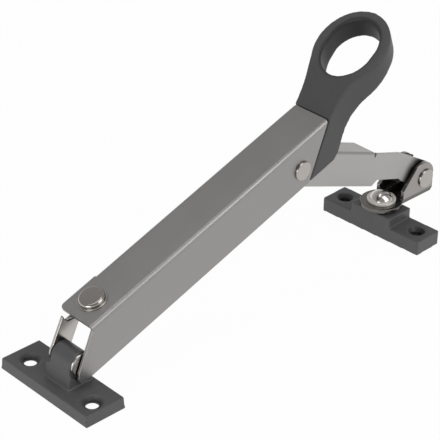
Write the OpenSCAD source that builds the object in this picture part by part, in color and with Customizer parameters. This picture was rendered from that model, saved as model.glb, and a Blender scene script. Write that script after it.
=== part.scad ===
// Folding window stay: a frame plate with a hinge knuckle, a long channel arm with a
// ring handle, a short channel arm that folds into it, and a sash plate on a swivel stud.
// Millimetres. Origin on the underside of the frame plate, midway between its screws.
// X runs towards the sash plate, Y along the plates, Z up.

/* [Frame plate] */
// Length of the frame plate
plate_l = 60; // [54:1:80]
// Width of the frame plate at its underside
plate_w = 22; // [20:0.5:30]
// Thickness of the frame plate
plate_t = 5.8; // [4.5:0.1:7]
// How far each side leans in from the underside to the top
plate_draft = 0.45; // [0.2:0.05:0.8]
// Distance between the two screws of the frame plate
plate_pitch = 43; // [38:1:48]
// Distance of the screws from the middle of the plate, across it
plate_screw_x = -2; // [-2.5:0.1:0]
// Distance of the screws from the middle of the plate, along it
plate_screw_y = -1.6; // [-2:0.1:0]
// Screw clearance hole of the frame plate
plate_screw_d = 6; // [4.5:0.1:6.2]
// Rim of the bowl around each screw hole of the frame plate
plate_sink_d = 11; // [9:0.1:11.5]
// Depth of that bowl
plate_sink_t = 1.3; // [1:0.1:2]
// Depth of the hollows under both ends of the frame plate
hollow_t = 2.8; // [2:0.1:3]
// Wall around those hollows
hollow_wall = 2; // [1.5:0.1:2.5]

/* [Knuckle and hinge] */
// Height of the hinge axis above the underside
hinge_h = 15.9; // [15:0.1:20]
// Distance of the hinge axis from the plate centre
hinge_x = 3.4; // [2:0.1:5]
// Radius of the rounded top of the knuckle
knuckle_r = 5.9; // [5.6:0.1:6.4]
// How far the foot of the knuckle stands out in front of its round top
knuckle_toe = 2.2; // [1:0.1:3]
// Width of the bearing part of the knuckle
knuckle_w = 13.2; // [11:0.1:13.2]
// Depth of the recess for the rivet head
head_recess = 1.25; // [1.2:0.05:1.6]
// Radius of both recesses around the hinge axis
recess_r = 7.1; // [6.8:0.1:7.5]
// Diameter of the hinge rivet
hinge_d = 5; // [4:0.1:5.5]
// Wall of the hinge bush
bush_t = 1; // [0.8:0.1:1.3]
// Diameter of the hinge rivet head
hinge_head_d = 10.8; // [9:0.1:11.2]
// Thickness of the hinge rivet head
hinge_head_t = 1; // [0.7:0.05:1]
// Radius of the washer between knuckle and bracket
hinge_washer_r = 5.8; // [5.2:0.1:6.5]
// Thickness of the washer between knuckle and bracket
hinge_washer_t = 0.5; // [0.3:0.05:0.8]

/* [Swivel bracket] */
// Sheet of the bracket
bracket_t = 1.5; // [1.2:0.1:1.8]
// Half width of the bracket leg
leg_r = 5.3; // [4.6:0.1:5.6]
// Length of the tip of the leg in front of its fold
leg_tip = 1.7; // [1:0.1:1.7]
// Height of that tip above the flange
leg_tip_h = 1.3; // [0.8:0.1:1.4]
// Lean of the bracket leg against the long arm, in degrees
leg_lean = 45; // [42:1:48]
// Distance of the swivel rivet from the hinge axis along the arm
swivel_x = 21.9; // [20:0.1:25]
// Distance of the swivel rivet from the middle of the arm
swivel_y = 1.2; // [0:0.1:1.5]
// Radius of the bracket flange around the swivel rivet
flange_r = 7.6; // [6.5:0.1:8]
// Diameter of the swivel rivet
swivel_d = 8; // [6:0.1:8.5]
// Diameter of the swivel rivet head where it meets the ring
swivel_head_d = 12.4; // [10.5:0.1:12.8]
// Height of the swivel rivet head
swivel_head_t = 1.9; // [1.2:0.1:2.4]
// Outer diameter of the ring under the head
ring_d = 14.2; // [13:0.1:15]
// Thickness of the ring under the head
ring_t = 0.6; // [0.4:0.1:1]
// Thickness of the friction disc under the arm
disc_t = 0.5; // [0.4:0.1:0.8]

/* [Long arm] */
// Rise of the long arm as it stands, in degrees
arm_pitch = 19.3; // [17:0.1:21]
// Offset of the arms from the middle of the frame plate
arm_y = -0.6; // [-1:0.1:0]
// Outer width of the long arm
arm_w = 22.7; // [22.2:0.1:24]
// Height of the side walls of the long arm
arm_h = 23.5; // [23.2:0.1:25]
// Sheet of the long arm
arm_t = 1.5; // [1.2:0.1:1.7]
// Outer radius of the folds of the long arm
arm_fold = 1.9; // [1.7:0.1:2.4]
// Height of the top of the arm above the hinge axis, square to the arm
arm_top = 15.8; // [15.6:0.1:16.4]
// Start of the top of the arm, from the hinge axis
arm_start = 10.6; // [10.3:0.1:11]
// End of the top of the arm, from the hinge axis
arm_end = 163.3; // [155:0.5:175]
// Length of the top without a far wall
far_cut = 21.7; // [20:0.1:26]
// Lean of the slanted ends of the side walls, in degrees
end_lean = 49; // [46:1:52]
// Radius of the lower front corner of the near wall
toe_r = 2.8; // [1.5:0.1:3.5]

/* [Knee] */
// Distance from the knee axis to the end of the top of the arm
knee_back = 22.3; // [20:0.1:25]
// Height of the knee axis above the hinge axis, square to the arm
knee_z = 1.8; // [1.4:0.1:2.2]
// Diameter of the knee rivet
knee_d = 6; // [5:0.1:6.5]
// Diameter of the knee rivet heads
knee_head_d = 9.6; // [8.5:0.1:10]
// Height of the knee rivet heads
knee_head_t = 1.3; // [0.8:0.1:1.6]
// Wall of the spacer tubes
tube_t = 1.2; // [0.8:0.1:1.5]

/* [Short arm] */
// Distance from the knee axis to the fork axis along the short arm
fork_x = 103.5; // [98:0.5:110]
// Drop of the fork axis below the knee axis, square to the short arm
fork_drop = 5.1; // [4.8:0.1:5.6]
// Outer width of the short arm
short_w = 16; // [15.4:0.1:16]
// Sheet of the short arm
short_t = 1.5; // [1.2:0.1:1.7]
// Outer radius of the folds of the short arm
short_fold = 1.9; // [1.7:0.1:2.2]
// Top of the short arm above the knee axis
short_top = 8; // [7.8:0.1:8.2]
// Bottom of the short arm below the knee axis
short_bottom = 9.5; // [9.2:0.1:9.6]
// Length of the web of the short arm beyond the knee
web_l = 56; // [50:1:60]
// Radius of the ends of the ears below
ear_r = 6.3; // [5.6:0.1:6.4]
// Radius of the ends of the ears on top
ear_top_r = 8.1; // [7.8:0.1:8.6]

/* [Fork and stud] */
// Outer width of the fork
fork_w = 15.8; // [15.4:0.1:16]
// Sheet of the fork
fork_t = 2; // [1.6:0.1:2]
// Radius of the round foot of the fork
foot_r = 10.8; // [9.5:0.1:11.5]
// Height of the fork axis above the foot
fork_rise = 6.9; // [6.9:0.1:8]
// Distance from the stud to the fork axis
stud_off = 23.9; // [23.5:0.1:27]
// Radius of the top of the cheeks
cheek_r = 8.2; // [7.6:0.1:8.8]
// Height of the cheeks above the fork axis
cheek_top = 9.4; // [9:0.1:10]
// How much longer the far cheek is at its front
cheek_more = 2.8; // [0:0.1:3]
// Distance from the fork axis to the back edge of the cheeks
cheek_back = 6; // [5.6:0.1:7]
// Diameter of the fork rivet
fork_d = 5; // [4.5:0.1:5.6]
// Diameter of the fork rivet heads
fork_head_d = 10.2; // [8:0.1:10.4]
// Height of the fork rivet heads
fork_head_t = 1.1; // [0.8:0.1:1.4]
// Diameter of the stud
stud_d = 7; // [6:0.1:7.5]
// Diameter of the dome of the stud
dome_d = 12; // [10.5:0.1:12.6]
// Height of the dome of the stud
dome_h = 3.8; // [3:0.1:4]
// Outer diameter of the washer under the dome
washer_d = 14.7; // [13:0.1:15]
// Thickness of the washer under the dome
washer_t = 1.5; // [1:0.1:1.6]
// Thickness of the friction disc on the sash plate
pad_t = 1; // [0.8:0.1:1.2]

/* [Sash plate] */
// Length of the sash plate
sash_l = 62.4; // [58:0.2:72]
// Width of the sash plate
sash_w = 16.6; // [16:0.1:20]
// Thickness of the ends of the sash plate
sash_t = 7.8; // [6.5:0.1:8.5]
// Height of the raised block of the sash plate
block_h = 13; // [12:0.1:15]
// Length of the raised block
block_l = 25.2; // [22:0.2:27]
// Distance between the two screws of the sash plate
sash_pitch = 47; // [44:1:52]
// Screw clearance hole of the sash plate
sash_screw_d = 5; // [4:0.1:5.6]
// Countersink of the sash plate
sash_sink_d = 9; // [8:0.1:9.6]
// Depth of that countersink
sash_sink_t = 2; // [1.5:0.1:2.5]
// Turn of the sash plate on its stud as it stands, in degrees
sash_turn = 2.3; // [0:0.1:4]

/* [Handle] */
// Rise of the ring of the handle against the arm, in degrees
ring_rise = 17; // [15:1:19]
// Distance of the ring centre from the end of the arm
ring_reach = 31.6; // [29:0.2:35]
// Height of the ring centre above the top of the arm
ring_lift = 16.3; // [15:0.1:17.5]
// Half width of the finger hole
hole_r = 13.7; // [12:0.1:14.2]
// How much longer than wide the finger hole is
hole_long = 3.2; // [2:0.1:4]
// Radius of the outside of the ring
outer_r = 19.4; // [19:0.1:21]
// Radius of the hollow sides of the neck
neck_r = 42; // [36:2:80]
// Thickness of the ring
ring_h = 10; // [9:0.2:12]
// Thickness of the cheeks of the handle inside the arm
lug_t = 1.6; // [1.4:0.1:1.65]
// Reach of those cheeks in front of the knee
lug_reach = 9; // [7:0.2:11]

/* [Clearances] */
// Radial play of a pin that turns in its bore
run_gap = 0.05; // [0.02:0.01:0.1]
// Side play between parts that slide past each other
side_gap = 0.15; // [0.1:0.01:0.2]
// Gap between the arm and the handle
seam = 0.55; // [0.2:0.05:0.6]

/* [Hidden] */
$fn = 96;
EPS = 0.01;
OVER = 1;
DARK = [0.30, 0.30, 0.31];
STEEL = [0.66, 0.65, 0.63];
BRIGHT = [0.78, 0.76, 0.73];
BLACK = [0.10, 0.10, 0.10];

// across the hinge, measured from the middle of the arm
arm_in = arm_w / 2 - arm_t;
knee_x = arm_end - knee_back;
bearing_near = -knuckle_w / 2 - 1.6;
bearing_far = bearing_near + knuckle_w;
leg_near = bearing_far + hinge_washer_t;
leg_far = leg_near + bracket_t;
block_near = bearing_near - head_recess;
block_far = leg_far + 0.4;
swage_t = 0.9;

// stack under the top of the arm, along the swivel rivet
arm_under = arm_top - arm_t;
flange_top = arm_under - disc_t;
flange_low = flange_top - bracket_t;
wall_low = arm_top - arm_h;
far_trim = 0.15;

// short arm, across the knee and the fork
fork_in = fork_w / 2 - fork_t;
fork_shim = 0.3;
ear_out = fork_in - fork_shim - EPS;
ear_in = ear_out - short_t;
short_in = short_w / 2 - short_t;
near_edge = short_top - 0.3;
far_edge = ear_top_r - fork_drop;
near_drop_at = web_l + 22;
notch_top = -6.4;
notch_from = web_l + 8.4;
notch_to = web_l + 28;
joggle_from = web_l + 3;
joggle_to = web_l + 30;
tail_r = (short_top + short_bottom) / 2;
tail_z = (short_top - short_bottom) / 2;

// heights at the sash plate
foot_low = block_h + pad_t;
foot_top = foot_low + fork_t;
fork_axis_h = foot_top + fork_rise;

// the short arm leans so far that the sash plate stands level with the frame plate
knee_h = hinge_h + knee_x * sin(arm_pitch) + knee_z * cos(arm_pitch);
short_reach = norm([fork_x, fork_drop]);
short_dip = asin((knee_h - fork_axis_h) / short_reach) - atan2(fork_drop, fork_x);
knee_bend = arm_pitch + short_dip;
fork_axis_x = hinge_x + knee_x * cos(arm_pitch) - knee_z * sin(arm_pitch)
    + fork_x * cos(short_dip) - fork_drop * sin(short_dip);

// point where a line from p touches the circle of radius r about c, on the given side
function touch(p, c, r, side) =
    let (d = c - p, a = atan2(d[1], d[0]) + side * asin(r / norm(d)))
    c + r * [cos(a + side * 90), sin(a + side * 90)];

// a flat outline in x and z, thickened from y0 to y1
module side(y0, y1) {
    translate([0, y1, 0]) rotate([90, 0, 0]) linear_extrude(y1 - y0) children();
}

// a round bar along y
module bar(d, y0, y1) {
    translate([0, y1, 0]) rotate([90, 0, 0]) cylinder(h = y1 - y0, d = d);
}

// frame of the long arm: hinge axis at the origin, arm along x
module in_arm() {
    translate([hinge_x, arm_y, hinge_h]) rotate([0, -arm_pitch, 0]) children();
}

// frame of the short arm: knee axis at the origin, arm along x
module in_short() {
    in_arm() translate([knee_x, 0, knee_z]) rotate([0, knee_bend, 0]) children();
}

// frame of the fork: fork axis at the origin, foot level
module in_fork() {
    translate([fork_axis_x, arm_y, fork_axis_h]) children();
}

// frame of the sash plate: stud axis at the origin, underside at zero
module in_sash() {
    translate([fork_axis_x - stud_off, arm_y, 0]) children();
}

// two countersunk screw holes along y
module screw_holes(pitch, hole, sink, depth, top) {
    for (s = [-1, 1]) translate([0, s * pitch / 2, 0]) {
        translate([0, 0, -OVER]) cylinder(h = top + 2 * OVER, d = hole);
        translate([0, 0, top - depth]) cylinder(h = depth + EPS, d1 = hole, d2 = sink);
    }
}

// a channel open at the bottom, with rounded folds, standing on z = 0 at its top
module channel_outline(w, h, t, r) {
    difference() {
        union() {
            translate([-w / 2, -h]) square([w, h - r]);
            translate([-w / 2 + r, -h]) square([w - 2 * r, h]);
            for (s = [-1, 1]) translate([s * (w / 2 - r), -r]) circle(r);
        }
        translate([-w / 2 + t, -h - OVER]) square([w - 2 * t, h + OVER - r]);
        translate([-w / 2 + r, -h]) square([w - 2 * r, h - t]);
        for (s = [-1, 1]) translate([s * (w / 2 - r), -r]) circle(r - t);
    }
}

module channel(x0, x1, w, top, h, t, r) {
    translate([x0, 0, top]) rotate([90, 0, 90]) linear_extrude(x1 - x0)
        channel_outline(w, h, t, r);
}

// a rivet head along -y from y = 0, with a bevelled rim
module rivet_head(d, t, rim) {
    rotate([90, 0, 0]) {
        cylinder(h = t - rim, d = d);
        translate([0, 0, t - rim - EPS]) cylinder(h = rim + EPS, d1 = d, d2 = d - 2 * rim);
    }
}

module frame_plate() color(DARK) difference() {
    union() {
        intersection() {
            side(-plate_l / 2, plate_l / 2) polygon([[-plate_w / 2, 0], [plate_w / 2, 0],
                [plate_w / 2 - plate_draft, plate_t], [-plate_w / 2 + plate_draft, plate_t]]);
            rotate([0, 0, 90]) side(-plate_w, plate_w)
                polygon([[-plate_l / 2, 0], [plate_l / 2, 0],
                    [plate_l / 2 - plate_draft, plate_t], [-plate_l / 2 + plate_draft, plate_t]]);
        }
        translate([hinge_x, arm_y, 0]) side(block_near, block_far) knuckle_outline();
    }
    translate([hinge_x, arm_y, hinge_h]) {
        bar(2 * recess_r, bearing_near - 2 * head_recess, bearing_near);
        bar(2 * recess_r, bearing_far, block_far + OVER);
        bar(hinge_d + 2 * run_gap + 2 * bush_t, bearing_near - OVER, bearing_far + OVER);
    }
    translate([plate_screw_x, plate_screw_y, 0])
        screw_holes(plate_pitch, plate_screw_d, plate_sink_d, plate_sink_t, plate_t);
    for (s = [-1, 1]) hollow(s * plate_l / 2 - s * hollow_wall, s * (recess_r + 5));
}

// hollow under one end of the plate
module hollow(y0, y1) {
    side = plate_w / 2 - hollow_wall;
    translate([-side, min(y0, y1), -OVER]) cube([2 * side, abs(y1 - y0), OVER + hollow_t]);
}

// side view of the knuckle, with its leaning front
module knuckle_outline() {
    toe = [-knuckle_r - knuckle_toe, plate_t - 1];
    axis = [0, hinge_h];
    translate(axis) circle(knuckle_r);
    polygon([toe, [knuckle_r, plate_t - 1], [knuckle_r, hinge_h], axis,
        touch(toe, axis, knuckle_r, 1)]);
}

module hinge_bush() color(BLACK) translate([hinge_x, arm_y, hinge_h]) difference() {
    bar(hinge_d + 2 * run_gap + 2 * bush_t, bearing_near, bearing_far);
    bar(hinge_d + 2 * run_gap, bearing_near - OVER, bearing_far + OVER);
}

module hinge_rivet() color(BRIGHT) translate([hinge_x, arm_y, hinge_h]) {
    bar(hinge_d, bearing_near - 0.1, leg_far + EPS);
    translate([0, bearing_near - 0.05, 0]) rivet_head(hinge_head_d, hinge_head_t, 0.4);
    translate([0, leg_far, 0]) mirror([0, 1, 0]) rivet_head(hinge_d + 3, swage_t, 0.4);
}

module hinge_washer() color(BLACK) translate([hinge_x, arm_y, hinge_h]) difference() {
    bar(2 * hinge_washer_r, bearing_far, leg_near);
    bar(hinge_d + 2 * run_gap, bearing_far - OVER, leg_near + OVER);
}

// side view of the bracket leg: a bar with a round lower end and a small upper tip
module leg_outline() {
    run = flange_top / tan(leg_lean);
    half = leg_r / sin(leg_lean);
    edge = leg_r * [-sin(leg_lean), cos(leg_lean)];
    corner = [run - half, flange_top];
    along = [cos(leg_lean), sin(leg_lean)];
    difference() {
        union() {
            circle(leg_r);
            polygon([edge, corner + (leg_tip_h - 0.4) / sin(leg_lean) * along,
                corner + [leg_tip, leg_tip_h], corner + [leg_tip, 0],
                [run + half, flange_top], -edge]);
        }
        circle(d = hinge_d);
    }
}

module swivel_bracket() color(BRIGHT) in_arm() difference() {
    run = flange_top / tan(leg_lean);
    half = leg_r / sin(leg_lean);
    start = run - half + leg_tip + 0.1;
    union() {
        side(leg_near, leg_far) leg_outline();
        translate([0, 0, flange_low]) linear_extrude(bracket_t) {
            translate([swivel_x, swivel_y]) circle(flange_r);
            polygon([[start, leg_far - EPS], [start, leg_near - bracket_t],
                [swivel_x - flange_r, swivel_y], [swivel_x, swivel_y],
                [swivel_x + flange_r, swivel_y], [run + half, leg_far - EPS]]);
        }
    }
    fold_round(run - half + leg_tip, run + half + OVER);
    translate([swivel_x, swivel_y, flange_low - OVER])
        cylinder(h = bracket_t + 2 * OVER, d = swivel_d);
}

// rounds the outside of the bracket fold
module fold_round(x0, x1) {
    r = 2 * bracket_t;
    translate([x0, leg_far - r, flange_top - r]) rotate([90, 0, 90]) linear_extrude(x1 - x0)
        difference() {
            square(r + OVER);
            circle(r);
        }
}

module swivel_rivet() color(BRIGHT) in_arm() translate([swivel_x, swivel_y, 0]) {
    crown = arm_top + ring_t;
    bevel = 0.8;
    translate([0, 0, flange_low - EPS]) cylinder(h = crown - flange_low + 2 * EPS, d = swivel_d);
    translate([0, 0, crown]) {
        cylinder(h = swivel_head_t - bevel, d = swivel_head_d);
        translate([0, 0, swivel_head_t - bevel - EPS])
            cylinder(h = bevel + EPS, d1 = swivel_head_d, d2 = swivel_head_d - 2 * bevel);
    }
    translate([0, 0, flange_low - 1.1]) cylinder(h = 1.1, d = swivel_d + 3);
}

module swivel_ring() color(BRIGHT) in_arm() translate([swivel_x, swivel_y, arm_top])
    difference() {
        cylinder(h = ring_t, d = ring_d);
        translate([0, 0, -OVER]) cylinder(h = ring_t + 2 * OVER, d = swivel_d + 2 * run_gap);
    }

module swivel_disc() color(BLACK) in_arm() translate([swivel_x, swivel_y, flange_top])
    difference() {
        cylinder(h = disc_t, r = flange_r);
        translate([0, 0, -OVER]) cylinder(h = disc_t + 2 * OVER, d = swivel_d + 2 * run_gap);
    }

// side view of the near wall of the long arm
module near_wall_outline() {
    slope = tan(end_lean);
    back_run = arm_h / slope;
    toe_x = -5.1;
    nose = [toe_x + 1.6, -1.2];
    polygon([[arm_start - 0.2, arm_top], [arm_start - 0.2, arm_top - 1.8], nose, [toe_x, -4.4],
        [toe_x, wall_low + toe_r], [toe_x + toe_r, wall_low + toe_r], [toe_x + toe_r, wall_low],
        [arm_end - back_run, wall_low], [arm_end, arm_top]]);
    translate([toe_x + toe_r, wall_low + toe_r]) circle(toe_r);
}

module long_arm() color(STEEL) in_arm() difference() {
    union() {
        intersection() {
            channel(toe_cut(), arm_end, arm_w, arm_top, arm_h, arm_t, arm_fold);
            union() {
                side(-arm_w, 0) near_wall_outline();
                side(0, arm_w) far_wall_outline();
            }
        }
        translate([arm_start, 0, arm_under]) cube([far_cut, arm_w / 2 - far_trim, arm_t]);
    }
    translate([swivel_x, swivel_y, arm_under - OVER])
        cylinder(h = arm_t + 2 * OVER, d = swivel_d + 2 * run_gap);
    translate([knee_x, 0, knee_z]) bar(knee_d, -arm_w, arm_w);
    corner_cut();
}

// side view of the far wall, which starts behind the swivel rivet
module far_wall_outline() {
    start = arm_start + far_cut;
    polygon([[start, arm_top], [start, wall_low],
        [arm_end - arm_h / tan(end_lean), wall_low], [arm_end, arm_top]]);
}

function toe_cut() = -8;

// rounds the far front corner of the top
module corner_cut() {
    r = 2.6;
    translate([arm_start - OVER, arm_w / 2 - far_trim + OVER, arm_under - OVER]) mirror([0, 1, 0])
        difference() {
            cube([r + OVER, r + OVER, arm_t + 2 * OVER]);
            translate([r + OVER, r + OVER, -OVER]) cylinder(h = arm_t + 4 * OVER, r = r);
        }
}

// the top line of the handle: neck, then ring
function ring_at() = [arm_end + ring_reach, arm_top + ring_lift];
function on_ring(s, h) = ring_at() + s * [cos(ring_rise), sin(ring_rise)]
    + h * [-sin(ring_rise), cos(ring_rise)];

// side view of the handle outside the arm
module handle_outline() {
    tip = arm_end - arm_h / tan(end_lean) + seam / sin(end_lean);
    start = [arm_end + seam, arm_top + 0.1];
    kink = on_ring(-13, 0);
    polygon([[tip, wall_low], [tip + 17, wall_low], [arm_end + 0.9, wall_low + 2.2],
        [arm_end + 4.4, wall_low + 6.8], [arm_end + 8, wall_low + 12],
        [arm_end + 12.5, wall_low + 16.7], [arm_end + 19, wall_low + 21.6],
        [arm_end + 27, wall_low + 26.2], on_ring(1, -ring_h),
        on_ring(outer_r + 6, -ring_h), on_ring(outer_r + 6, 0), kink,
        kink - 4.5 * [cos(25), sin(25)], start, [arm_end + seam, arm_top - 1]]);
}

// where two circles meet, on the side of the positive y axis
function meet(c1, r1, c2, r2) =
    let (d = norm(c2 - c1), e = (c2 - c1) / d, a = (r1 * r1 - r2 * r2 + d * d) / (2 * d))
    c1 + a * e + sqrt(r1 * r1 - a * a) * [e[1], -e[0]];

// plan of the handle, square to the arm: ring and hollow-sided neck
module handle_plan() {
    half = arm_w / 2 - EPS;
    ring = [arm_end + ring_reach + 0.3, 0];
    root = [arm_end, half];
    swing = meet(ring, outer_r + neck_r, root, neck_r);
    foot = ring + outer_r * (swing - ring) / norm(swing - ring);
    translate(ring) circle(outer_r);
    translate([arm_end - 30, -half]) square([30, 2 * half]);
    difference() {
        polygon([root - [EPS, 0], foot, ring, [foot[0], -foot[1]], [root[0] - EPS, -half]]);
        for (s = [-1, 1]) translate([swing[0], s * swing[1]]) circle(neck_r);
    }
}

module handle() color(DARK) in_arm() difference() {
    union() {
        intersection() {
            side(-arm_w, arm_w) handle_outline();
            translate([0, 0, wall_low - OVER]) linear_extrude(90) handle_plan();
        }
        for (s = [0, 1]) mirror([0, s, 0]) side(-arm_in + EPS, -arm_in + lug_t) lug_outline();
        plug();
    }
    translate([arm_end + ring_reach, 0, 0]) linear_extrude(90) {
        for (s = [-1, 1]) translate([s * hole_long / 2, 0]) circle(hole_r);
        translate([-hole_long / 2, -hole_r]) square([hole_long, 2 * hole_r]);
    }
    slot();
    translate([knee_x, 0, knee_z]) bar(knee_d, -arm_w, arm_w);
}

// the cheeks of the handle that line the inside of the arm
module lug_outline() {
    low = wall_low + 2;
    back = arm_end - (arm_top - low) / tan(end_lean);
    polygon([[knee_x - lug_reach, low], [back + 6, low], [arm_end + 6, arm_under - 0.1],
        [knee_x - lug_reach, arm_under - 0.1]]);
}

// bridge between the cheeks, under the top of the arm
module plug() {
    x0 = knee_x + 12;
    side(-arm_in + EPS, arm_in - EPS) polygon([[x0, arm_under - 0.1], [x0, slot_top()],
        [arm_end + 4, slot_top()], [arm_end + 4, arm_under - 0.1]]);
}

function slot_top() = knee_z + short_top + 0.7;

// room for the short arm between the cheeks
module slot() {
    translate([knee_x - 40, -short_w / 2 - side_gap, wall_low - OVER])
        cube([110, short_w + 2 * side_gap, slot_top() - wall_low + OVER]);
}

module knee_rivet() color(BRIGHT) in_arm() translate([knee_x, 0, knee_z]) {
    bar(knee_d, -arm_w / 2 - EPS, arm_w / 2 + EPS);
    for (s = [0, 1]) mirror([0, s, 0]) translate([0, -arm_w / 2, 0])
        rivet_head(knee_head_d, knee_head_t, 0.4);
}

module knee_tube() color(BRIGHT) in_short() difference() {
    bar(knee_d + 2 * run_gap + 2 * tube_t, -short_in, short_in);
    bar(knee_d + 2 * run_gap, -short_w, short_w);
}

// side view of a wall of the short arm beyond the web
module ear_outline(edge, drop_at) {
    axis = [fork_x, -fork_drop];
    shoulder = [drop_at, edge];
    heel = [notch_to + 4, notch_top - 1.5];
    start = web_l - 3;
    step = short_top - short_fold - 0.5;
    polygon([[start, -short_bottom], [start, min(edge, step)], [web_l + 0.8, min(edge, step)],
        [web_l + 1.2, min(edge, near_edge)], shoulder, touch(shoulder, axis, ear_top_r, 1), axis,
        touch(heel, axis, ear_r, -1), heel, [notch_to, notch_top], [notch_from, notch_top],
        [notch_from - 3.1, -short_bottom]]);
    translate(axis) circle(ear_r);
    translate(axis) intersection() {
        circle(ear_top_r);
        polygon([[0, 0], 20 * [cos(80), sin(80)], 20 * [cos(120), sin(120)]]);
    }
}

// plan of the near wall: straight, then stepping in to pass between the fork cheeks
module wall_plan() {
    x0 = web_l - 10;
    x1 = fork_x + ear_r + OVER;
    polygon([[x0, -short_w / 2], [joggle_from, -short_w / 2], [joggle_to, -ear_out],
        [x1, -ear_out], [x1, -ear_in], [joggle_to, -ear_in], [joggle_from, -short_in],
        [x0, -short_in]]);
}

module ear(edge, drop_at) {
    intersection() {
        side(-short_w, 0) ear_outline(edge, drop_at);
        translate([0, 0, -30]) linear_extrude(60) wall_plan();
    }
}

// side view of the channel part of the short arm, with its round tail
module tail_outline() {
    polygon([[0, short_top], [web_l, short_top], [web_l, -short_bottom], [0, -short_bottom]]);
    translate([0, tail_z]) circle(tail_r);
}

module short_arm() color(STEEL) in_short() difference() {
    union() {
        intersection() {
            channel(-20, web_l, short_w, short_top, short_top + short_bottom, short_t, short_fold);
            side(-short_w, short_w) tail_outline();
        }
        ear(near_edge, near_drop_at);
        mirror([0, 1, 0]) ear(far_edge, fork_x - 9.5);
    }
    bar(knee_d + 2 * run_gap, -short_w, short_w);
    translate([fork_x, 0, -fork_drop]) bar(fork_d + 2 * run_gap, -short_w, short_w);
}

module fork_tube() color(BRIGHT) in_short() translate([fork_x, 0, -fork_drop]) difference() {
    bar(fork_d + 2 * run_gap + 2 * tube_t, -ear_in, ear_in);
    bar(fork_d + 2 * run_gap, -short_w, short_w);
}

// side view of a cheek, fork axis at the origin
module cheek_outline(more) {
    low = -fork_rise - fork_t;
    front = foot_meet() - stud_off + 0.3 - more;
    shoulder = [front, -2.4];
    crown = [cheek_back - cheek_r + 0.2, cheek_top - cheek_r];
    translate(crown) circle(cheek_r);
    polygon([[front, low], shoulder, touch(shoulder, crown, cheek_r, 1), crown,
        [cheek_back + 0.6, crown[1]], [cheek_back + 0.6, low + 2], [cheek_back - 1.4, low]]);
}

// where the round foot meets the outer face of a cheek
function foot_meet() = sqrt(pow(foot_r, 2) - pow(fork_w / 2, 2));

module fork() color(STEEL) in_fork() difference() {
    low = -fork_rise - fork_t;
    union() {
        side(-fork_w / 2, -fork_in) cheek_outline(0);
        side(fork_in, fork_w / 2) cheek_outline(cheek_more);
        translate([-stud_off, 0, low]) cylinder(h = fork_t, r = foot_r);
        translate([-stud_off, -fork_w / 2, low]) cube([stud_off + cheek_back - 1.4, fork_w, fork_t]);
    }
    translate([-12, -fork_w, low - 9]) cube([40, 2 * fork_w, 9]);
    translate([cheek_back, -fork_w, low - OVER]) cube([20, 2 * fork_w, 40]);
    bar(fork_d, -fork_w, fork_w);
    translate([-stud_off, 0, low - OVER]) cylinder(h = fork_t + 2 * OVER, d = stud_d + 2 * run_gap);
}

module fork_rivet() color(BRIGHT) in_fork() {
    bar(fork_d, -fork_w / 2 - EPS, fork_w / 2 + EPS);
    for (s = [0, 1]) mirror([0, s, 0]) translate([0, -fork_w / 2, 0])
        rivet_head(fork_head_d, fork_head_t, 0.4);
}

module fork_shim_at(y0) {
    color(BLACK) in_fork() difference() {
        bar(2 * ear_r, y0, y0 + fork_shim);
        bar(fork_d + 2 * run_gap, y0 - OVER, y0 + fork_shim + OVER);
    }
}

module fork_shim_near() fork_shim_at(-fork_in);
module fork_shim_far() fork_shim_at(fork_in - fork_shim);

module swivel_stud() color(BRIGHT) in_sash() {
    seat = foot_top + washer_t;
    ball = (pow(dome_d / 2, 2) + pow(dome_h, 2)) / (2 * dome_h);
    cylinder(h = seat + EPS, d = stud_d);
    translate([0, 0, seat]) intersection() {
        cylinder(h = dome_h, d = dome_d);
        translate([0, 0, dome_h - ball]) sphere(ball);
    }
}

module stud_washer() color(BRIGHT) in_sash() translate([0, 0, foot_top]) difference() {
    cylinder(h = washer_t, d = washer_d);
    translate([0, 0, -OVER]) cylinder(h = washer_t + 2 * OVER, d = stud_d + 2 * run_gap);
}

module stud_pad() color(BLACK) in_sash() translate([0, 0, block_h]) difference() {
    cylinder(h = pad_t, d = washer_d);
    translate([0, 0, -OVER]) cylinder(h = pad_t + 2 * OVER, d = stud_d);
}

module sash_plate() color(DARK) in_sash() rotate([0, 0, sash_turn]) difference() {
    union() {
        translate([-sash_w / 2, -sash_l / 2, 0]) cube([sash_w, sash_l, sash_t]);
        translate([-sash_w / 2, -block_l / 2, 0]) cube([sash_w, block_l, block_h]);
    }
    screw_holes(sash_pitch, sash_screw_d, sash_sink_d, sash_sink_t, sash_t);
    translate([0, 0, -OVER]) cylinder(h = block_h + 2 * OVER, d = stud_d);
}

frame_plate();
hinge_bush();
hinge_rivet();
hinge_washer();
swivel_bracket();
swivel_rivet();
swivel_ring();
swivel_disc();
long_arm();
handle();
knee_rivet();
knee_tube();
short_arm();
fork_tube();
fork();
fork_rivet();
fork_shim_near();
fork_shim_far();
swivel_stud();
stud_washer();
stud_pad();
sash_plate();
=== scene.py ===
"""Looks of the folding window stay.

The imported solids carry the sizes. This script lays softly rounded copies of the cast,
pressed and riveted pieces over them, gives every piece its finish, and sets up a plain
studio with the camera at the photograph's angle.
"""

import logging
import math
from abc import ABC, abstractmethod
from dataclasses import dataclass, field
from enum import Enum
from typing import Any, Callable, Mapping, Optional, Sequence, Union

import bmesh
import bpy
from mathutils import Matrix, Vector
from mathutils.bvhtree import BVHTree


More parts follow.
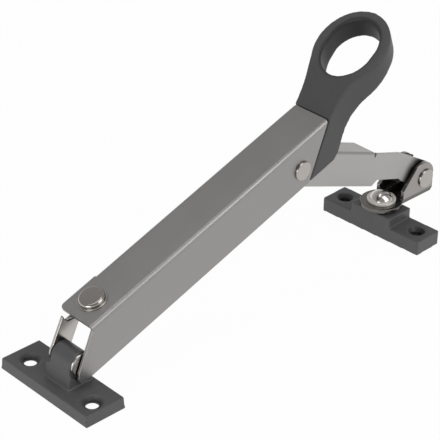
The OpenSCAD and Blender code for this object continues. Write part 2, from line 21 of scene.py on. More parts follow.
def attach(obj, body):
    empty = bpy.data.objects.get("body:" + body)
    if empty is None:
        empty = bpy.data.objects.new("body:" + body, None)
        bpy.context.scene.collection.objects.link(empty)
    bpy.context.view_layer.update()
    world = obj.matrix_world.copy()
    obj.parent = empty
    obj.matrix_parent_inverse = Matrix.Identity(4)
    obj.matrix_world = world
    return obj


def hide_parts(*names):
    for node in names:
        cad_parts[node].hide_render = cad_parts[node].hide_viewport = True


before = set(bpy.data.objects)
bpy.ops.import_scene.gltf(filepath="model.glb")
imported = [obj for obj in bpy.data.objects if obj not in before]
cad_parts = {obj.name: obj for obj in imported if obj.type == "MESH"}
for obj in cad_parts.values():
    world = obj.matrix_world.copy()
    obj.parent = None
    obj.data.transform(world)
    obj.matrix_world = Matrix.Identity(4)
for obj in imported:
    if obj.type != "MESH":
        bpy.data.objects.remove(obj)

MM = 0.001
LONG_ARM_PITCH = math.radians(19.3)
SHORT_ARM_PITCH = math.radians(-1.4)
WHITE = (1.0, 1.0, 1.0, 1.0)
LOG = logging.getLogger("window_stay")

Colour = tuple[float, float, float]
Number = Union[float, "Link"]


class Body(Enum):
    """The bodies of the stay, which turn against each other."""

    FRAME_PLATE = "frame_plate_body"
    BRACKET = "bracket_body"
    LONG_ARM = "long_arm_body"
    SHORT_ARM = "short_arm_body"
    FORK = "fork_body"
    SASH_PLATE = "sash_plate_body"


class Slot(Enum):
    """The record's material slots."""

    DARK_COAT = "dark_coat"
    SHEET = "sheet"
    POLISHED = "polished"
    WASHER = "washer"


class Link:
    """One output of a shader node, with arithmetic that adds Math nodes."""

    def __init__(self, graph: "Graph", socket: Optional[bpy.types.NodeSocket]) -> None:
        """Keeps the graph and the output socket, which a last node doesn't have."""
        self.graph = graph
        self.socket = socket

    def _math(self, operation: str, first: Number, second: Number) -> "Link":
        """Adds one Math node."""
        return self.graph.add("ShaderNodeMath", {"operation": operation}, {0: first, 1: second})

    def __add__(self, other: Number) -> "Link":
        """Sum."""
        return self._math("ADD", self, other)

    __radd__ = __add__

    def __sub__(self, other: Number) -> "Link":
        """Difference."""
        return self._math("SUBTRACT", self, other)

    def __rsub__(self, other: Number) -> "Link":
        """Difference the other way round."""
        return self._math("SUBTRACT", other, self)

    def __mul__(self, other: Number) -> "Link":
        """Product."""
        return self._math("MULTIPLY", self, other)

    __rmul__ = __mul__

    def __truediv__(self, other: Number) -> "Link":
        """Quotient."""
        return self._math("DIVIDE", self, other)

    def __pow__(self, other: Number) -> "Link":
        """Power."""
        return self._math("POWER", self, other)

    def __abs__(self) -> "Link":
        """Size without the sign."""
        return self._math("ABSOLUTE", self, 0.0)

    def positive(self) -> "Link":
        """The value, or 0 where it is below 0."""
        return self._math("MAXIMUM", self, 0.0)

    def clipped(self) -> "Link":
        """The value held between 0 and 1."""
        return self.graph.add("ShaderNodeClamp", {}, {"Value": self})


@dataclass(frozen=True)
class Noise:
    """A cloudy noise with a size of about 1 / scale metres, and its span in roughness."""

    scale: float
    sheen: float
    detail: float = 3.0
    rough: float = 0.5


class Graph:
    """A node tree that is filled by one method."""

    # A Mix node has sockets of one name for each type, so its colours go by their place
    MIX_LOW = 6
    MIX_HIGH = 7
    MIX_RESULT = 2

    def __init__(self, tree: bpy.types.NodeTree) -> None:
        """Empties the tree."""
        self.tree = tree
        tree.nodes.clear()

    def add(self, kind: str, settings: Mapping[str, Any],
            inputs: Mapping[Union[int, str], Any], output: Union[int, str] = 0) -> Link:
        """Adds one node.

        Args:
            kind: the node's type.
            settings: its properties, set first.
            inputs: a value or a link for each socket, by name or index.
            output: the output that the link stands for.

        Returns:
            The link to that output.
        """
        node = self.tree.nodes.new(kind)
        for name, value in settings.items():
            setattr(node, name, value)
        for name, value in inputs.items():
            if isinstance(value, Link):
                self.tree.links.new(value.socket, node.inputs[name])
            else:
                node.inputs[name].default_value = value
        return Link(self, node.outputs[output] if len(node.outputs) else None)

    def object_point(self, turn: float = 0.0) -> Link:
        """The point on the piece, turned about Y by an angle in radians."""
        point = self.add("ShaderNodeTexCoord", {}, {}, "Object")
        return self.add("ShaderNodeMapping", {}, {"Vector": point, "Rotation": (0.0, turn, 0.0)})

    def part(self, point: Link, axis: str) -> Link:
        """The point's part along one axis."""
        return self.add("ShaderNodeSeparateXYZ", {}, {"Vector": point}, axis)

    def offsets(self, point: Link, axes: str, middle: Sequence[float]) -> list[Link]:
        """How far the point lies from a middle along some axes, in millimetres."""
        return [self.part(point, axis) / MM - place for axis, place in zip(axes, middle)]

    def stretched(self, point: Link, scale: Sequence[float]) -> Link:
        """The point with its three parts scaled apart."""
        return self.add("ShaderNodeVectorMath", {"operation": "MULTIPLY"}, {0: point, 1: scale})

    def noise(self, point: Link, kind: Noise) -> Link:
        """A noise between 0 and 1."""
        return self.add("ShaderNodeTexNoise", {}, {"Vector": point, "Scale": kind.scale,
            "Detail": kind.detail, "Roughness": kind.rough})

    def mix(self, amount: Link, low: Colour, high: Union[Colour, Link]) -> Link:
        """Mixes a plain colour with a plain or a linked one.

        Args:
            amount: 0 for the first colour and 1 for the second.
            low: the first colour.
            high: the second colour.

        Returns:
            The link to the mixed colour.
        """
        high_end = high if isinstance(high, Link) else (*high, 1.0)
        return self.add("ShaderNodeMix", {"data_type": "RGBA"},
            {"Factor": amount, self.MIX_LOW: (*low, 1.0), self.MIX_HIGH: high_end},
            self.MIX_RESULT)


def mixed(first: Link, second: Link, share: float) -> Link:
    """Two noises mixed, with this share of the first, held between 0 and 1."""
    return (first * share + second * (1.0 - share)).clipped()


def uneven(middle: float, *parts: tuple[Link, Noise]) -> Number:
    """Lets noises move a roughness up and down.

    Args:
        middle: the roughness where each noise is at its middle.
        parts: each noise, as a link and as the values that it was made from.

    Returns:
        The link to the roughness.
    """
    level: Number = middle
    for link, kind in parts:
        level = level + (link - 0.5) * kind.sheen
    return level


@dataclass(frozen=True)
class Look:
    """What varies over a surface, and how deep its grain is in metres."""

    colour: Link
    roughness: Number
    height: Link
    depth: float


class Finish(ABC):
    """What all finishes share: a material with one shader and a bump."""

    name: str

    @abstractmethod
    def sockets(self) -> Mapping[str, float]:
        """The constants of the shader's own sockets."""

    @abstractmethod
    def dress(self, graph: Graph) -> Look:
        """Adds the nodes of what varies over the surface, and returns their links."""

    def build(self) -> bpy.types.Material:
        """Makes the material.

        Returns:
            The material.
        """
        material = bpy.data.materials.new(self.name)
        material.use_nodes = True
        graph = Graph(material.node_tree)
        look = self.dress(graph)
        bump = graph.add("ShaderNodeBump", {}, {"Strength": 1.0, "Distance": look.depth,
            "Height": look.height})
        shader = graph.add("ShaderNodeBsdfPrincipled", {}, {**self.sockets(),
            "Base Color": look.colour, "Roughness": look.roughness, "Normal": bump})
        graph.add("ShaderNodeOutputMaterial", {}, {"Surface": shader})
        return material


@dataclass(frozen=True)
class Recess:
    """A round or long hole in a casting, sizes in millimetres.

    The hole runs along Z in axes that are turned about Y. Its straight stretch is twice
    half, and past its rim the painted shade in it fades out over the width fade.
    """

    centre: tuple[float, float]
    radius: float
    fade: float
    half: float = 0.0
    turn: float = 0.0

    def outside(self, graph: Graph) -> Link:
        """Adds the nodes that tell the hole from the face round it.

        Args:
            graph: the material's nodes.

        Returns:
            The link to a level that is 0 inside the hole and 1 a little past its rim.
        """
        x, y = graph.offsets(graph.object_point(self.turn), "XY", self.centre)
        away = ((abs(x) - self.half).positive() ** 2.0 + y * y) ** 0.5
        return ((away - self.radius) / self.fade).clipped()


# Holes of the castings, whose walls get painted shade in the coating's colour
FRAME_PLATE_HOLES = tuple(Recess(centre, radius=3.4, fade=2.2)
    for centre in ((-2.0, -23.1), (-2.0, 19.9)))
SASH_PLATE_HOLES = tuple(Recess(centre, radius=3.9, fade=1.0)
    for centre in ((207.963, -24.081), (206.077, 22.881)))
FINGER_HOLE = Recess((203.364, -0.6), radius=13.9, fade=1.5, half=1.6, turn=LONG_ARM_PITCH)


@dataclass(frozen=True)
class CastCoat(Finish):
    """Dark powder coating on a zinc casting: matte, finely pebbled, a little uneven."""

    name: str
    low: Colour
    high: Colour
    roughness: float
    recesses: tuple[Recess, ...]
    # Share of the coating's low colour that is painted into the holes as shade
    painted_recess_shade: float = 0.35
    specular: float = 0.45
    cloud: Noise = Noise(90.0, sheen=0.1)
    cloud_share: float = 0.65
    pebbles: Noise = Noise(1400.0, sheen=0.16, detail=2.0, rough=0.6)
    pebble_depth: float = 0.00002

    def sockets(self) -> Mapping[str, float]:
        """No metal, and a little less gloss than plain plastic."""
        return {"Metallic": 0.0, "Specular IOR Level": self.specular}

    def dress(self, graph: Graph) -> Look:
        """Adds cloudy colour, painted shade in the holes, pebbled height and a varying sheen.

        Args:
            graph: the material's nodes.

        Returns:
            The links for the shader.
        """
        point = graph.object_point()
        cloud = graph.noise(point, self.cloud)
        pebbles = graph.noise(point, self.pebbles)
        colour = graph.mix(mixed(cloud, pebbles, self.cloud_share), self.low, self.high)
        # Painted shade: the holes are darkened where their walls lie in shade
        deep = tuple(self.painted_recess_shade * part for part in self.low)
        for recess in self.recesses:
            colour = graph.mix(recess.outside(graph), deep, colour)
        roughness = uneven(self.roughness, (pebbles, self.pebbles), (cloud, self.cloud))
        return Look(colour, roughness, pebbles, self.pebble_depth)


@dataclass(frozen=True)
class PlateCoat(CastCoat):
    """Coating of the two plates, with painted shade in their screw holes."""

    name: str = "dark_coat"
    low: Colour = (0.074, 0.073, 0.075)
    high: Colour = (0.100, 0.099, 0.100)
    roughness: float = 0.42
    recesses: tuple[Recess, ...] = FRAME_PLATE_HOLES + SASH_PLATE_HOLES


@dataclass(frozen=True)
class HandleCoat(CastCoat):
    """Coating of the handle, with painted shade inside its ring."""

    name: str = "handle_coat"
    low: Colour = (0.056, 0.056, 0.056)
    high: Colour = (0.073, 0.073, 0.073)
    roughness: float = 0.5
    recesses: tuple[Recess, ...] = (FINGER_HOLE,)


@dataclass(frozen=True)
class SatinSheet(Finish):
    """Rolled steel sheet: satin, with a faint grain along the arm."""

    name: str
    pitch: float
    low: Colour
    high: Colour
    roughness: float = 0.4
    grain: Noise = Noise(1600.0, sheen=0.16, rough=0.6)
    grain_stretch: tuple[float, float, float] = (0.03, 1.0, 1.0)
    grain_share: float = 0.4
    grain_depth: float = 0.000004
    cloud: Noise = Noise(55.0, sheen=0.1)

    def sockets(self) -> Mapping[str, float]:
        """Bare metal."""
        return {"Metallic": 1.0}

    def dress(self, graph: Graph) -> Look:
        """Adds the rolled grain, cloudy colour and a varying sheen.

        Args:
            graph: the material's nodes.

        Returns:
            The links for the shader.
        """
        point = graph.object_point(self.pitch)
        grain = graph.noise(graph.stretched(point, self.grain_stretch), self.grain)
        cloud = graph.noise(point, self.cloud)
        colour = self.colour(graph, mixed(grain, cloud, self.grain_share))
        roughness = uneven(self.roughness, (grain, self.grain), (cloud, self.cloud))
        return Look(colour, roughness, grain, self.grain_depth)

    def colour(self, graph: Graph, shade: Link) -> Link:
        """The colour of the steel, by a shade from 0 to 1."""
        return graph.mix(shade, self.low, self.high)


@dataclass(frozen=True)
class LongArmSheet(SatinSheet):
    """Sheet of the long arm."""

    name: str = "long_sheet"
    pitch: float = LONG_ARM_PITCH
    low: Colour = (0.300, 0.292, 0.287)
    high: Colour = (0.341, 0.332, 0.325)


@dataclass(frozen=True)
class ShortArmSheet(SatinSheet):
    """Sheet of the short arm, paler, with painted shade round the fork's pivot."""

    name: str = "short_sheet"
    pitch: float = SHORT_ARM_PITCH
    low: Colour = (0.385, 0.374, 0.366)
    high: Colour = (0.437, 0.425, 0.416)
    pivot: tuple[float, float] = (230.92, 22.9)
    # Painted shade and dark reflection on the ears round the fork's pivot, where the cheeks
    # shade them
    painted_pivot_shade: Colour = (0.045, 0.04, 0.036)
    painted_pivot_shade_radius: float = 11.5
    painted_pivot_shade_fade: float = 5.5

    def colour(self, graph: Graph, shade: Link) -> Link:
        """Paints shade round the fork's pivot into the colour of the steel.

        Args:
            graph: the material's nodes.
            shade: the shade of the steel, from 0 to 1.

        Returns:
            The link to the colour.
        """
        plain = super().colour(graph, shade)
        x, z = graph.offsets(graph.object_point(), "XZ", self.pivot)
        away = (x * x + z * z) ** 0.5
        unshaded = ((away - self.painted_pivot_shade_radius) / self.painted_pivot_shade_fade).clipped()
        return graph.mix(unshaded, self.painted_pivot_shade, plain)


@dataclass(frozen=True)
class PolishedSteel(Finish):
    """Tumbled and polished steel of the bracket, the hinge rivet, the ring and the tubes."""

    name: str = "polished_steel"
    low: Colour = (0.44, 0.42, 0.40)
    high: Colour = (0.52, 0.495, 0.47)
    roughness: float = 0.2
    metallic: float = 1.0
    smear: Noise = Noise(120.0, sheen=0.12)
    smear_depth: float = 0.000002
    marks: Noise = Noise(900.0, sheen=0.06, detail=2.0)

    def sockets(self) -> Mapping[str, float]:
        """How much of it is bare metal."""
        return {"Metallic": self.metallic}

    def dress(self, graph: Graph) -> Look:
        """Adds faint smears and tumbling marks.

        Args:
            graph: the material's nodes.

        Returns:
            The links for the shader.
        """
        point = graph.object_point()
        smear = graph.noise(point, self.smear)
        marks = graph.noise(point, self.marks)
        colour = self.colour(graph, point, smear)
        roughness = uneven(self.roughness, (smear, self.smear), (marks, self.marks))
        return Look(colour, roughness, smear, self.smear_depth)

    def colour(self, graph: Graph, point: Link, smear: Link) -> Link:
        """The colour of the steel, which goes by the smears alone."""
        return graph.mix(smear, self.low, self.high)


@dataclass(frozen=True)
class RivetSteel(PolishedSteel):
    """Darker steel of the large rivet heads."""

    name: str = "rivet_steel"
    low: Colour = (0.40, 0.375, 0.352)
    high: Colour = (0.46, 0.43, 0.403)


@dataclass(frozen=True)
class StudSteel(PolishedSteel):
    """Pale, duller finish of the washer under the stud's dome."""

    name: str = "stud_steel"
    low: Colour = (0.72, 0.69, 0.64)
    high: Colour = (0.80, 0.765, 0.71)
    roughness: float = 0.32
    metallic: float = 0.3


@dataclass(frozen=True)
class DomeSteel(PolishedSteel):
    """Bright steel of the stud's dome."""

    name: str = "dome_steel"
    low: Colour = (0.62, 0.59, 0.56)
    high: Colour = (0.70, 0.67, 0.64)
    roughness: float = 0.12


@dataclass(frozen=True)
class ForkSteel(PolishedSteel):
    """Polished steel of the fork, with painted shade and reflection on its foot under the stud.
    """

    name: str = "fork_sheet"
    low: Colour = (0.29, 0.275, 0.265)
    high: Colour = (0.34, 0.325, 0.315)
    roughness: float = 0.24
    # Painted shade and dark reflection on the foot, where it lies under the stud and the cheeks
    foot: Colour = (0.15, 0.142, 0.134)
    foot_thickness: float = 1.6 * MM
    foot_fade: float = 0.0012

    def colour(self, graph: Graph, point: Link, smear: Link) -> Link:
        """Paints shade and dark reflection onto the steel at the height of the foot.

        Args:
            graph: the material's nodes.
            point: the point on the piece.
            smear: the smears, from 0 to 1.

        Returns:
            The link to the colour.
        """
        height = graph.part(point, "Z")
        plain = super().colour(graph, point, smear)
        underside = min(vert.co.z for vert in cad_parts["fork"].data.vertices)
        foot_top = underside + self.foot_thickness
        above = ((height - foot_top) / self.foot_fade).clipped()
        return graph.mix(above, self.foot, plain)


@dataclass(frozen=True)
class BlackPlastic(Finish):
    """Black plastic of washers, discs and the bush."""

    name: str = "black_washer"
    low: Colour = (0.012, 0.012, 0.012)
    high: Colour = (0.024, 0.023, 0.022)
    roughness: float = 0.45
    grain: Noise = Noise(1800.0, sheen=0.2, detail=2.0)
    grain_depth: float = 0.00001

    def sockets(self) -> Mapping[str, float]:
        """No metal."""
        return {"Metallic": 0.0}

    def dress(self, graph: Graph) -> Look:
        """Adds a moulded grain.

        Args:
            graph: the material's nodes.

        Returns:
            The links for the shader.
        """
        grain = graph.noise(graph.object_point(), self.grain)
        colour = graph.mix(grain, self.low, self.high)
        return Look(colour, uneven(self.roughness, (grain, self.grain)), grain, self.grain_depth)


@dataclass(frozen=True)
class Finishes:
    """One material of each finish, shared by the pieces."""

    plate_coat: bpy.types.Material
    handle_coat: bpy.types.Material
    long_sheet: bpy.types.Material
    short_sheet: bpy.types.Material
    fork_sheet: bpy.types.Material
    polished: bpy.types.Material
    rivet: bpy.types.Material
    stud: bpy.types.Material
    dome: bpy.types.Material
    plastic: bpy.types.Material


def make_finishes() -> Finishes:
    """Makes each material once.

    Returns:
        The materials.
    """
    return Finishes(
        plate_coat=PlateCoat().build(),
        handle_coat=HandleCoat().build(),
        long_sheet=LongArmSheet().build(),
        short_sheet=ShortArmSheet().build(),
        fork_sheet=ForkSteel().build(),
        polished=PolishedSteel().build(),
        rivet=RivetSteel().build(),
        stud=StudSteel().build(),
        dome=DomeSteel().build(),
        plastic=BlackPlastic().build())


def nowhere(place: Vector) -> float:
    """The share of a casting's further smoothing where no point gets any."""
    return 0.0


class Shape:
    """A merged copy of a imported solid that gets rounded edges."""

    # Points this close are joined, and faces that turn by less than this are one face
    MERGE = 0.03 * MM
    FLAT = math.radians(0.6)
    # Edges of the solid that turn by more than this are rounded
    SHARP = math.radians(30.0)
    # A point further from the solid than this share of the rounding's width is put back
    STRAY = 0.45
    # Edges of the finished piece that turn by more than this stay creased in its shading
    CREASE = math.radians(38.0)

    def __init__(self, node: str) -> None:
        """Copies the solid's mesh and joins its loose triangles.

        Args:
            node: the name of the solid.
        """
        self.node = node
        self.bm = bmesh.new()
        self.bm.from_mesh(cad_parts[node].data)
        self.solid = BVHTree.FromBMesh(self.bm)
        bmesh.ops.remove_doubles(self.bm, verts=self.bm.verts, dist=self.MERGE)
        bmesh.ops.dissolve_limit(self.bm, angle_limit=self.FLAT, verts=self.bm.verts,
            edges=self.bm.edges, delimit={"NORMAL"})

    def rounded(self, radius: float, segments: int = 2) -> "Shape":
        """Rounds the sharp edges.

        Args:
            radius: width of the rounding in millimetres.
            segments: number of faces across the rounding.

        Returns:
            This shape.
        """
        sharp = [edge for edge in self.bm.edges
            if len(edge.link_faces) == 2 and edge.calc_face_angle(0.0) > self.SHARP]
        bmesh.ops.bevel(self.bm, geom=sharp, offset=radius * MM, offset_type="OFFSET",
            affect="EDGES", segments=segments, profile=0.5, material=-1,
            clamp_overlap=False, loop_slide=True)
        for vert in self.bm.verts:
            place, _, _, distance = self.solid.find_nearest(vert.co)
            if distance > self.STRAY * radius * MM:
                vert.co = place
        return self

    def _remesh(self, voxel: float) -> None:
        """Gives the shape an even mesh.

        Args:
            voxel: size of the mesh in millimetres.
        """
        mesh = bpy.data.meshes.new("casting")
        self.bm.to_mesh(mesh)
        holder = bpy.data.objects.new("casting", mesh)
        bpy.context.scene.collection.objects.link(holder)
        remesh = holder.modifiers.new("remesh", "REMESH")
        remesh.mode = "VOXEL"
        remesh.voxel_size = voxel * MM
        even = bpy.data.meshes.new_from_object(
            holder.evaluated_get(bpy.context.evaluated_depsgraph_get()))
        self.bm.clear()
        self.bm.from_mesh(even)
        bpy.data.objects.remove(holder)
        for spent in (mesh, even):
            bpy.data.meshes.remove(spent)

    def softened(self, voxel: float, steps: int, rim: Callable[[Vector], float] = nowhere,
                 rim_steps: int = 0, swell: float = 0.0) -> "Shape":
        """Makes the shape a dense, evenly softened casting.

        Args:
            voxel: size of the mesh in millimetres.
            steps: how often all of it is smoothed.
            rim: share of the further steps that a point gets, from 0 to 1.
            rim_steps: number of further steps.
            swell: how far the rim grows to make up for them, in millimetres.

        Returns:
            This shape.
        """
        self._remesh(voxel)
        due = {vert: steps + rim_steps * rim(vert.co) for vert in self.bm.verts}
        for step in range(steps + rim_steps):
            verts = [vert for vert in self.bm.verts if step < due[vert]]
            bmesh.ops.smooth_vert(self.bm, verts=verts, factor=0.5, use_axis_x=True,
                use_axis_y=True, use_axis_z=True)
        self.bm.normal_update()
        for vert in self.bm.verts:
            vert.co += vert.normal * (swell * MM * rim(vert.co))
        return self

    def piece(self, name: str, body: Body, slot: Slot, material: bpy.types.Material) -> None:
        """Makes the finished piece.

        Args:
            name: the piece's name.
            body: the body that it rides on.
            slot: the record's slot of its finish; not used.
            material: its material.
        """
        mesh = bpy.data.meshes.new(name)
        self.bm.to_mesh(mesh)
        self.bm.free()
        mesh.materials.clear()
        mesh.materials.append(material)
        mesh.shade_smooth()
        mesh.set_sharp_from_angle(angle=self.CREASE)
        piece = bpy.data.objects.new(name, mesh)
        bpy.context.scene.collection.objects.link(piece)
        weighted = piece.modifiers.new("even_faces", "WEIGHTED_NORMAL")
        weighted.keep_sharp = True
        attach(piece, body.value)
        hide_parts(self.node)
        LOG.info("%s: %d faces", name, len(mesh.polygons))


def dress_node(node: str, material: bpy.types.Material) -> None:
    """Gives a solid that is carried over its material.

    Args:
        node: the name of the solid.
        material: its material.
    """
    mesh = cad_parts[node].data
    mesh.materials.clear()
    mesh.materials.append(material)
    LOG.info("%s: carried over", node)


class SubAssembly(ABC):
    """Pieces of the stay that are built and dressed together."""

    @abstractmethod
    def build(self, finishes: Finishes) -> None:
        """Builds and dresses the pieces in the shared materials."""


@dataclass
class FramePlate(SubAssembly):
    """Cast plate with the hinge knuckle, its bush and its washer."""

    voxel: float = 0.34
    soft_steps: int = 4

    def build(self, finishes: Finishes) -> None:
        """Builds and dresses the plate.

        Args:
            finishes: the shared materials.
        """
        Shape("frame_plate").softened(self.voxel, self.soft_steps).piece("frame_plate_cast",
            Body.FRAME_PLATE, Slot.DARK_COAT, finishes.plate_coat)
        for node in ("hinge_bush", "hinge_washer"):
            dress_node(node, finishes.plastic)


@dataclass
class SwivelBracket(SubAssembly):
    """Pressed bracket with its two rivets, the ring and the friction disc."""

    sheet_edge: float = 0.22
    hinge_rivet_edge: float = 0.25
    swivel_rivet_edge: float = 0.35
    rivet_segments: int = 3
    ring_edge: float = 0.18

    def build(self, finishes: Finishes) -> None:
        """Builds and dresses the bracket.

        Args:
            finishes: the shared materials.
        """
        Shape("swivel_bracket").rounded(self.sheet_edge).piece("swivel_bracket_pressed",
            Body.BRACKET, Slot.POLISHED, finishes.polished)
        hinge_rivet = Shape("hinge_rivet").rounded(self.hinge_rivet_edge, self.rivet_segments)
        hinge_rivet.piece("hinge_rivet_head", Body.BRACKET, Slot.POLISHED, finishes.polished)
        swivel_rivet = Shape("swivel_rivet").rounded(self.swivel_rivet_edge, self.rivet_segments)
        swivel_rivet.piece("swivel_rivet_head", Body.BRACKET, Slot.POLISHED, finishes.rivet)
        Shape("swivel_ring").rounded(self.ring_edge).piece("swivel_ring_turned",
            Body.LONG_ARM, Slot.POLISHED, finishes.polished)
        dress_node("swivel_disc", finishes.plastic)


@dataclass
class LongArm(SubAssembly):
    """Long sheet channel with the knee rivet."""

    sheet_edge: float = 0.22
    rivet_edge: float = 0.25
    rivet_segments: int = 3

    def build(self, finishes: Finishes) -> None:
        """Builds and dresses the long arm.

        Args:
            finishes: the shared materials.
        """
        Shape("long_arm").rounded(self.sheet_edge).piece("long_arm_channel",
            Body.LONG_ARM, Slot.SHEET, finishes.long_sheet)
        Shape("knee_rivet").rounded(self.rivet_edge, self.rivet_segments).piece(
            "knee_rivet_head", Body.LONG_ARM, Slot.POLISHED, finishes.rivet)


@dataclass(frozen=True)
class ArmAxes:
    """The long arm's own axes: origin on the hinge pin in millimetres, x along the arm."""

    origin: tuple[float, float, float] = (3.4, -0.6, 15.9)
    pitch: float = LONG_ARM_PITCH

    def along(self, place: Vector) -> float:
        """How far along the arm a point lies, in millimetres."""
        return (Matrix.Rotation(self.pitch, 3, "Y") @ (place / MM - Vector(self.origin))).x


@dataclass
class Handle(SubAssembly):
    """Cast ring handle with softly rounded edges."""

    axes: ArmAxes = field(default_factory=ArmAxes)
    voxel: float = 0.36
    soft_steps: int = 7
    ring_from: float = 166.0
    ring_fade: float = 22.0
    ring_steps: int = 14
    ring_swell: float = 0.28

    def _ring(self, place: Vector) -> float:
        """0 on the neck of the handle, rising to 1 on its ring."""
        return min(max((self.axes.along(place) - self.ring_from) / self.ring_fade, 0.0), 1.0)

    def build(self, finishes: Finishes) -> None:
        """Builds and dresses the handle.

        Args:
            finishes: the shared materials.
        """
        shape = Shape("handle").softened(self.voxel, self.soft_steps, self._ring,
            self.ring_steps, self.ring_swell)
        shape.piece("handle_cast", Body.LONG_ARM, Slot.DARK_COAT, finishes.handle_coat)


@dataclass
class ShortArm(SubAssembly):
    """Short sheet channel with its spacer tubes."""

    sheet_edge: float = 0.2

    def build(self, finishes: Finishes) -> None:
        """Builds and dresses the short arm.

        Args:
            finishes: the shared materials.
        """
        Shape("short_arm").rounded(self.sheet_edge).piece("short_arm_channel",
            Body.SHORT_ARM, Slot.SHEET, finishes.short_sheet)
        for node in ("knee_tube", "fork_tube"):
            dress_node(node, finishes.polished)


@dataclass
class Fork(SubAssembly):
    """Bent fork with its rivet and washers."""

    sheet_edge: float = 0.3
    rivet_edge: float = 0.25
    segments: int = 3

    def build(self, finishes: Finishes) -> None:
        """Builds and dresses the fork.

        Args:
            finishes: the shared materials.
        """
        Shape("fork").rounded(self.sheet_edge, self.segments).piece("fork_pressed",
            Body.FORK, Slot.SHEET, finishes.fork_sheet)
        Shape("fork_rivet").rounded(self.rivet_edge, self.segments).piece("fork_rivet_head",
            Body.FORK, Slot.POLISHED, finishes.rivet)
        for node in ("fork_shim_near", "fork_shim_far"):
            dress_node(node, finishes.plastic)


@dataclass
class SashPlate(SubAssembly):
    """Cast plate with the raised block, the stud, its washer and its pad."""

    voxel: float = 0.34
    soft_steps: int = 4
    stud_edge: float = 0.2
    washer_edge: float = 0.3
    washer_segments: int = 3

    def build(self, finishes: Finishes) -> None:
        """Builds and dresses the sash plate.

        Args:
            finishes: the shared materials.
        """
        Shape("sash_plate").softened(self.voxel, self.soft_steps).piece("sash_plate_cast",
            Body.SASH_PLATE, Slot.DARK_COAT, finishes.plate_coat)
        Shape("swivel_stud").rounded(self.stud_edge).piece("swivel_stud_dome",
            Body.SASH_PLATE, Slot.POLISHED, finishes.dome)
        washer = Shape("stud_washer").rounded(self.washer_edge, self.washer_segments)
        washer.piece("stud_washer_turned", Body.SASH_PLATE, Slot.POLISHED, finishes.stud)
        dress_node("stud_pad", finishes.plastic)


@dataclass
class Softbox:
    """One area lamp, aimed at the middle of the stay, in metres and watts."""

    name: str
    place: tuple[float, float, float]
    size: tuple[float, float]
    power: float
    aim: tuple[float, float, float] = (0.11, 0.0, 0.04)

    def build(self) -> None:
        """Places the lamp."""
        lamp = bpy.data.lights.new(self.name, "AREA")
        lamp.shape = "RECTANGLE"
        lamp.size, lamp.size_y = self.size
        lamp.energy = self.power
        holder = bpy.data.objects.new(self.name, lamp)
        gaze = Vector(self.aim) - Vector(self.place)
        holder.matrix_world = (Matrix.Translation(self.place)
            @ gaze.to_track_quat("-Z", "Y").to_matrix().to_4x4())
        bpy.context.scene.collection.objects.link(holder)


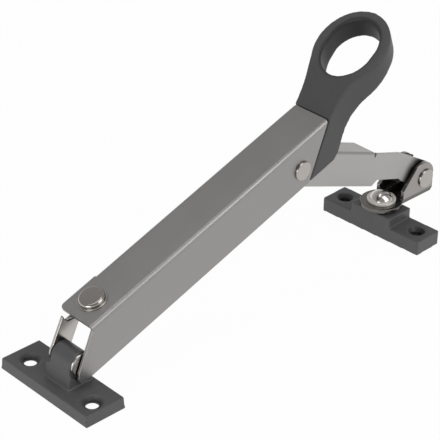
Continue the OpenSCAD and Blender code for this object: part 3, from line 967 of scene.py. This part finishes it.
@dataclass
class Studio:
    """Plain pale floor, pale surroundings, soft lamps and the camera."""

    # Strength of the surroundings low down, half-way up and overhead
    low_front: float = 0.85
    low_back: float = 0.92
    mid_front: float = 0.3
    mid_back: float = 0.52
    high: float = 0.32
    # Heights where the low band starts to fade and the high one to grow, and their slopes
    low_end: float = 0.1
    low_slope: float = 6.0
    high_start: float = 0.5
    high_slope: float = 4.0
    # Half the floor's width in metres, its grey as a light, and its white share as seen
    floor_half: float = 4.0
    floor_grey: Colour = (0.86, 0.86, 0.86)
    floor_share: float = 0.97
    # Camera: its angles, distance and shift from the origin in millimetres, and the focal
    # length in pixels of a picture frame_px wide
    azimuth: float = math.radians(-43.75)
    elevation: float = math.radians(30.79)
    roll: float = math.radians(0.89)
    distance: float = 790.05
    shift: tuple[float, float] = (69.67, 74.18)
    focal: float = 1787.70
    frame_px: float = 440.0
    sensor: float = 36.0
    nearest: float = 0.01
    lamps: tuple[Softbox, ...] = (
        Softbox("front_left", (-1.7, -0.4, 0.35), (1.1, 0.6), 8.0),
        Softbox("front_right", (0.5, -1.5, 1.15), (1.1, 0.8), 7.0),
        Softbox("overhead", (-0.1, 0.5, 1.8), (0.9, 0.9), 4.4),
        Softbox("front_high", (0.31, -0.77, 1.54), (0.9, 0.9), 4.0),
    )

    def build(self) -> None:
        """Builds the studio."""
        self._floor()
        self._world()
        for lamp in self.lamps:
            lamp.build()
        self._camera()
        bpy.context.scene.view_settings.view_transform = "Standard"

    @staticmethod
    def _seen(graph: Graph) -> Link:
        """1 for what the camera, a reflection or a clear piece sees, else 0."""
        camera, glossy, clear = (graph.add("ShaderNodeLightPath", {}, {}, output)
            for output in ("Is Camera Ray", "Is Glossy Ray", "Is Transmission Ray"))
        return (camera + glossy + clear).clipped()

    def _floor(self) -> None:
        """Lays the floor, which looks white and keeps a soft shadow."""
        bm = bmesh.new()
        bmesh.ops.create_grid(bm, x_segments=1, y_segments=1, size=self.floor_half)
        mesh = bpy.data.meshes.new("studio_floor")
        bm.to_mesh(mesh)
        bm.free()
        material = bpy.data.materials.new("studio_floor")
        material.use_nodes = True
        graph = Graph(material.node_tree)
        matte = graph.add("ShaderNodeBsdfDiffuse", {}, {"Color": (*self.floor_grey, 1.0)})
        glow = graph.add("ShaderNodeEmission", {}, {"Color": WHITE})
        both = graph.add("ShaderNodeMixShader", {}, {"Fac": self._seen(graph) * self.floor_share,
            1: matte, 2: glow})
        graph.add("ShaderNodeOutputMaterial", {}, {"Surface": both})
        mesh.materials.append(material)
        floor = bpy.data.objects.new("studio_floor", mesh)
        bpy.context.scene.collection.objects.link(floor)

    @staticmethod
    def _across(front: Link, near: float, far: float) -> Link:
        """A level that goes from far, behind the stay, to near, on the camera's side."""
        return front * (near - far) + far

    def _world(self) -> None:
        """Sets the pale surroundings: white to the camera, softer as a light."""
        world = bpy.data.worlds.new("studio")
        bpy.context.scene.world = world
        world.use_nodes = True
        graph = Graph(world.node_tree)
        ray = graph.add("ShaderNodeTexCoord", {}, {}, "Generated")
        x, y, up = (graph.part(ray, axis) for axis in "XYZ")
        front = (0.5 - x * 0.5 - y * 0.5).clipped()
        high = ((up - self.high_start) * self.high_slope).clipped()
        low = 1.0 - ((up - self.low_end) * self.low_slope).clipped()
        level = (high * self.high + low * self._across(front, self.low_front, self.low_back)
            + (1.0 - high - low) * self._across(front, self.mid_front, self.mid_back))
        soft = graph.add("ShaderNodeBackground", {}, {"Color": WHITE, "Strength": level})
        white = graph.add("ShaderNodeBackground", {}, {"Color": WHITE})
        camera_ray = graph.add("ShaderNodeLightPath", {}, {}, "Is Camera Ray")
        both = graph.add("ShaderNodeMixShader", {}, {"Fac": camera_ray, 1: soft, 2: white})
        graph.add("ShaderNodeOutputWorld", {}, {"Surface": both})

    def _camera(self) -> None:
        """Stands the camera where the photograph was taken from."""
        a, e, r = self.azimuth, self.elevation, self.roll
        back = Vector((math.sin(a) * math.cos(e), -math.cos(a) * math.cos(e), math.sin(e)))
        level = Vector((math.cos(a), math.sin(a), 0.0))
        up = back.cross(level)
        right = level * math.cos(r) + up * math.sin(r)
        top = up * math.cos(r) - level * math.sin(r)
        place = (back * self.distance + right * self.shift[0] + top * self.shift[1]) * MM
        data = bpy.data.cameras.new("photo_camera")
        data.sensor_width = self.sensor
        data.lens = self.sensor * self.focal / self.frame_px
        data.clip_start = self.nearest
        camera = bpy.data.objects.new("photo_camera", data)
        axes = Matrix((right, top, back)).transposed()
        camera.matrix_world = Matrix.Translation(place) @ axes.to_4x4()
        bpy.context.scene.collection.objects.link(camera)
        bpy.context.scene.camera = camera


def main() -> None:
    """Builds the sub-assemblies in order, then the studio."""
    logging.basicConfig(level=logging.INFO, format="%(name)s %(message)s")
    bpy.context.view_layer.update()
    finishes = make_finishes()
    for part in (FramePlate(), SwivelBracket(), LongArm(), Handle(), ShortArm(), Fork(),
            SashPlate()):
        LOG.info("building %s", type(part).__name__)
        part.build(finishes)
    Studio().build()


if __name__ == "__main__":
    main()
